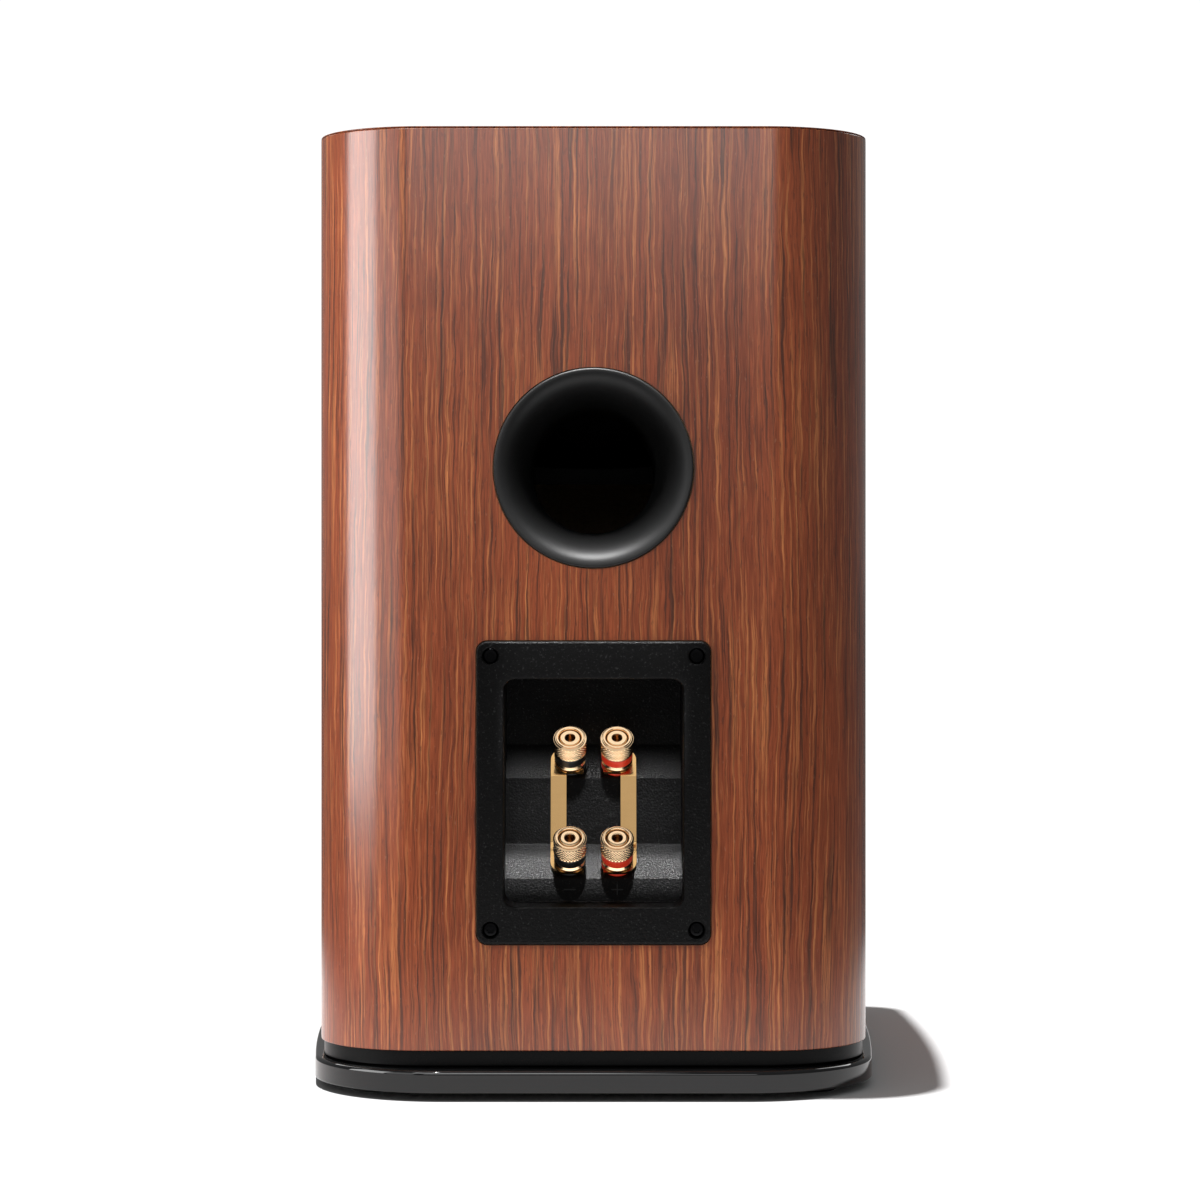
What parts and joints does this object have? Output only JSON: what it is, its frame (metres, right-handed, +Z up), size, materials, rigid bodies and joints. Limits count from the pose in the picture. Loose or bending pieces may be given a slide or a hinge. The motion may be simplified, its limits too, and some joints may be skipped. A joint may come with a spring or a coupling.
{
  "type": "bookshelf loudspeaker",
  "caption": "Walnut veneered two-way bookshelf loudspeaker with rounded rear corners, rear bass port, plinth and bi-wire binding posts joined by jumpers.",
  "frame": {"origin": "centre of the footprint on the floor", "axes": "+Z up, drivers face -Y, port and binding posts face +Y, +X is the speaker's own right seen from behind it"},
  "size_m": [0.23, 0.293, 0.37],
  "materials": {
    "walnut_veneer": "satin lacquered walnut veneer, grain upright",
    "top_veneer": "satin lacquered walnut veneer, grain front to back",
    "raw_board": "raw fibreboard",
    "gloss_black": "gloss black lacquer",
    "foot_rubber": "matt rubber",
    "port_plastic": "satin black moulding",
    "cup_plastic": "fine textured black moulding",
    "gasket_foam": "closed cell foam",
    "black_screw": "black oxide steel",
    "gold_plate": "polished gold plate on brass",
    "red_plastic": "red moulding",
    "black_plastic": "black moulding",
    "trim_ring": "satin black moulding",
    "surround_rubber": "butyl rubber",
    "cone_paper": "coated fibre cone",
    "copper_coil": "enamelled copper wire",
    "spider_cloth": "resin dipped cotton cloth",
    "motor_steel": "zinc plated steel",
    "ferrite": "ground ferrite",
    "cast_basket": "dark painted casting",
    "waveguide_plastic": "satin black moulding",
    "dome_metal": "satin spun aluminium",
    "circuit_board": "green solder mask",
    "film_capacitor": "blue film sleeve",
    "ceramic_resistor": "white ceramic",
    "damping_wool": "felted wool",
    "lead_black": "black insulation",
    "lead_red": "red insulation"
  },
  "bodies": {
    "cabinet": {"cabinet_wrap": "walnut_veneer", "front_baffle": "walnut_veneer", "top_panel": "top_veneer", "bottom_panel": "raw_board", "window_brace": "raw_board", "base_plate": "gloss_black", "plinth_neck": "gloss_black", "foot_front_right": "foot_rubber", "foot_rear_right": "foot_rubber", "foot_front_left": "foot_rubber", "foot_rear_left": "foot_rubber", "port_tube": "port_plastic", "port_inner_flare": "port_plastic", "terminal_cup": "cup_plastic", "cup_gasket": "gasket_foam", "cup_screw_upper_right": "black_screw", "cup_screw_upper_left": "black_screw", "cup_screw_lower_right": "black_screw", "cup_screw_lower_left": "black_screw", "post_stud_upper_negative": "gold_plate", "post_stud_upper_positive": "gold_plate", "post_stud_lower_negative": "gold_plate", "post_stud_lower_positive": "gold_plate", "woofer_trim_ring": "trim_ring", "woofer_surround": "surround_rubber", "tweeter_surround": "surround_rubber", "crossover_inductor": "copper_coil", "woofer_spider": "spider_cloth", "woofer_front_plate": "motor_steel", "woofer_pole_plate": "motor_steel", "woofer_magnet": "ferrite", "tweeter_motor": "ferrite", "woofer_basket": "cast_basket", "waveguide": "waveguide_plastic", "crossover_board": "circuit_board", "crossover_capacitor": "film_capacitor", "crossover_resistor": "ceramic_resistor", "damping_pad": "damping_wool", "lead_input_negative": "lead_black", "lead_woofer": "lead_black", "lead_tweeter": "lead_black", "lead_input_positive": "lead_red"},
    "woofer_cone_body": {"woofer_cone": "cone_paper", "woofer_dust_cap": "cone_paper", "woofer_voice_coil": "copper_coil"},
    "tweeter_dome_body": {"tweeter_dome": "dome_metal"},
    "jumper_negative_body": {"jumper_negative": "gold_plate"},
    "jumper_positive_body": {"jumper_positive": "gold_plate"},
    "collar_body_upper_negative": {"clamp_collar_upper_negative": "gold_plate"},
    "knob_body_upper_negative": {"polarity_ring_upper_negative": "black_plastic", "post_knob_upper_negative": "gold_plate"},
    "collar_body_upper_positive": {"clamp_collar_upper_positive": "gold_plate"},
    "knob_body_upper_positive": {"polarity_ring_upper_positive": "red_plastic", "post_knob_upper_positive": "gold_plate"},
    "collar_body_lower_negative": {"clamp_collar_lower_negative": "gold_plate"},
    "knob_body_lower_negative": {"polarity_ring_lower_negative": "black_plastic", "post_knob_lower_negative": "gold_plate"},
    "collar_body_lower_positive": {"clamp_collar_lower_positive": "gold_plate"},
    "knob_body_lower_positive": {"polarity_ring_lower_positive": "red_plastic", "post_knob_lower_positive": "gold_plate"}
  },
  "joints": [
    {"name": "woofer_stroke", "type": "slide", "parent": "cabinet", "child": "woofer_cone_body", "axis": [0, -1, 0], "range_m": [-0.006, 0.006], "stiffness_N_per_m": 1500, "deforming": ["woofer_surround", "woofer_spider"]},
    {"name": "tweeter_stroke", "type": "slide", "parent": "cabinet", "child": "tweeter_dome_body", "axis": [0, -1, 0], "range_m": [-0.0004, 0.0004], "stiffness_N_per_m": 1200, "deforming": ["tweeter_surround"]},
    {"name": "jumper_negative_pull", "type": "slide", "parent": "cabinet", "child": "jumper_negative_body", "axis": [1, 0, 0], "range_m": [0, 0.014]},
    {"name": "jumper_positive_pull", "type": "slide", "parent": "cabinet", "child": "jumper_positive_body", "axis": [-1, 0, 0], "range_m": [0, 0.014]},
    {"name": "collar_travel_upper_negative", "type": "slide", "parent": "cabinet", "child": "collar_body_upper_negative", "axis": [0, 0.7193, 0.6947], "range_m": [0, 0.005]},
    {"name": "knob_turn_upper_negative", "type": "hinge", "parent": "collar_body_upper_negative", "child": "knob_body_upper_negative", "pos_m": [0.00915, 0.09861, 0.12505], "axis": [0, 0.7193, 0.6947], "range_deg": [0, 1800]},
    {"name": "collar_travel_upper_positive", "type": "slide", "parent": "cabinet", "child": "collar_body_upper_positive", "axis": [0, 0.7193, 0.6947], "range_m": [0, 0.005]},
    {"name": "knob_turn_upper_positive", "type": "hinge", "parent": "collar_body_upper_positive", "child": "knob_body_upper_positive", "pos_m": [-0.00915, 0.09861, 0.12505], "axis": [0, 0.7193, 0.6947], "range_deg": [0, 1800]},
    {"name": "collar_travel_lower_negative", "type": "slide", "parent": "cabinet", "child": "collar_body_lower_negative", "axis": [0, 0.7193, 0.6947], "range_m": [0, 0.005]},
    {"name": "knob_turn_lower_negative", "type": "hinge", "parent": "collar_body_lower_negative", "child": "knob_body_lower_negative", "pos_m": [0.00915, 0.11461, 0.08725], "axis": [0, 0.7193, 0.6947], "range_deg": [0, 1800]},
    {"name": "collar_travel_lower_positive", "type": "slide", "parent": "cabinet", "child": "collar_body_lower_positive", "axis": [0, 0.7193, 0.6947], "range_m": [0, 0.005]},
    {"name": "knob_turn_lower_positive", "type": "hinge", "parent": "collar_body_lower_positive", "child": "knob_body_lower_positive", "pos_m": [-0.00915, 0.11461, 0.08725], "axis": [0, 0.7193, 0.6947], "range_deg": [0, 1800]}
  ],
  "couplings": [
    {"joint": "knob_turn_upper_negative", "follows": "collar_travel_upper_negative", "rad_per_m": 6283.2},
    {"joint": "knob_turn_upper_positive", "follows": "collar_travel_upper_positive", "rad_per_m": 6283.2},
    {"joint": "knob_turn_lower_negative", "follows": "collar_travel_lower_negative", "rad_per_m": 6283.2},
    {"joint": "knob_turn_lower_positive", "follows": "collar_travel_lower_positive", "rad_per_m": 6283.2}
  ]
}
